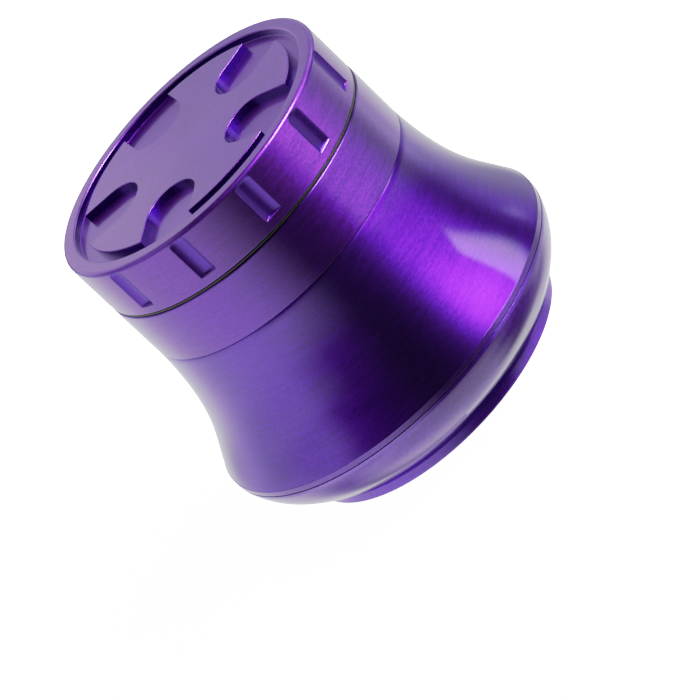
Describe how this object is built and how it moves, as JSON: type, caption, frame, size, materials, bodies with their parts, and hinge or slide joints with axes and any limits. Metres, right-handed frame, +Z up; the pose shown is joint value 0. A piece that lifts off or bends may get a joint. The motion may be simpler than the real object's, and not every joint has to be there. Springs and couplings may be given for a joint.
{
  "type": "herb grinder",
  "caption": "Round anodised aluminium hand grinder: notched magnetic lid over a toothed chamber, flared storage chamber with a sieve, and a bevelled catcher bowl.",
  "frame": {"origin": "centre of the foot ring's underside, on the surface that the grinder stands on", "axes": "+Z up along the turning axis towards the lid; +X and +Y across, through two grip notches each"},
  "size_m": [0.0636, 0.0636, 0.0551],
  "materials": {
    "anodised_aluminium": "purple anodised, satin turned sides and polished bevel",
    "black_rubber": "matte moulded seal ring",
    "dark_nylon": "dark self-lubricating plastic, slightly glossy",
    "clear_silicone": "milky soft silicone",
    "stainless_steel": "bright stainless steel",
    "nickel_plate": "nickel-plated magnet"
  },
  "bodies": {
    "catcher": {"catcher_bowl": "anodised_aluminium"},
    "catcher_ring": {"catcher_seal": "black_rubber"},
    "storage": {"storage_chamber": "anodised_aluminium", "sieve_gasket": "clear_silicone", "sieve_frame": "stainless_steel", "sieve_mesh": "stainless_steel", "sieve_snap_ring": "stainless_steel"},
    "chamber_ring": {"chamber_seal": "black_rubber"},
    "chamber": {"grinding_chamber": "anodised_aluminium", "chamber_magnet": "nickel_plate"},
    "glide": {"glide_ring": "dark_nylon"},
    "lid": {"lid": "anodised_aluminium", "lid_magnet": "nickel_plate"}
  },
  "joints": [
    {"name": "storage_rise", "type": "slide", "parent": "catcher", "child": "catcher_ring", "axis": [0, 0, 1], "range_m": [0, 0.0045]},
    {"name": "storage_turn", "type": "hinge", "parent": "catcher_ring", "child": "storage", "pos_m": [0, 0, 0.0112], "axis": [0, 0, 1], "range_deg": [0, 540]},
    {"name": "chamber_rise", "type": "slide", "parent": "storage", "child": "chamber_ring", "axis": [0, 0, 1], "range_m": [0, 0.0045]},
    {"name": "chamber_turn", "type": "hinge", "parent": "chamber_ring", "child": "chamber", "pos_m": [0, 0, 0.03575], "axis": [0, 0, 1], "range_deg": [0, 540]},
    {"name": "lid_lift", "type": "slide", "parent": "chamber", "child": "glide", "axis": [0, 0, 1], "range_m": [0, 0.035]},
    {"name": "lid_turn", "type": "hinge", "parent": "glide", "child": "lid", "pos_m": [0, 0, 0.04575], "axis": [0, 0, 1], "continuous": true}
  ],
  "couplings": [
    {"joint": "storage_rise", "follows": "storage_turn", "m_per_rad": 0.00047746},
    {"joint": "chamber_rise", "follows": "chamber_turn", "m_per_rad": 0.00047746}
  ]
}
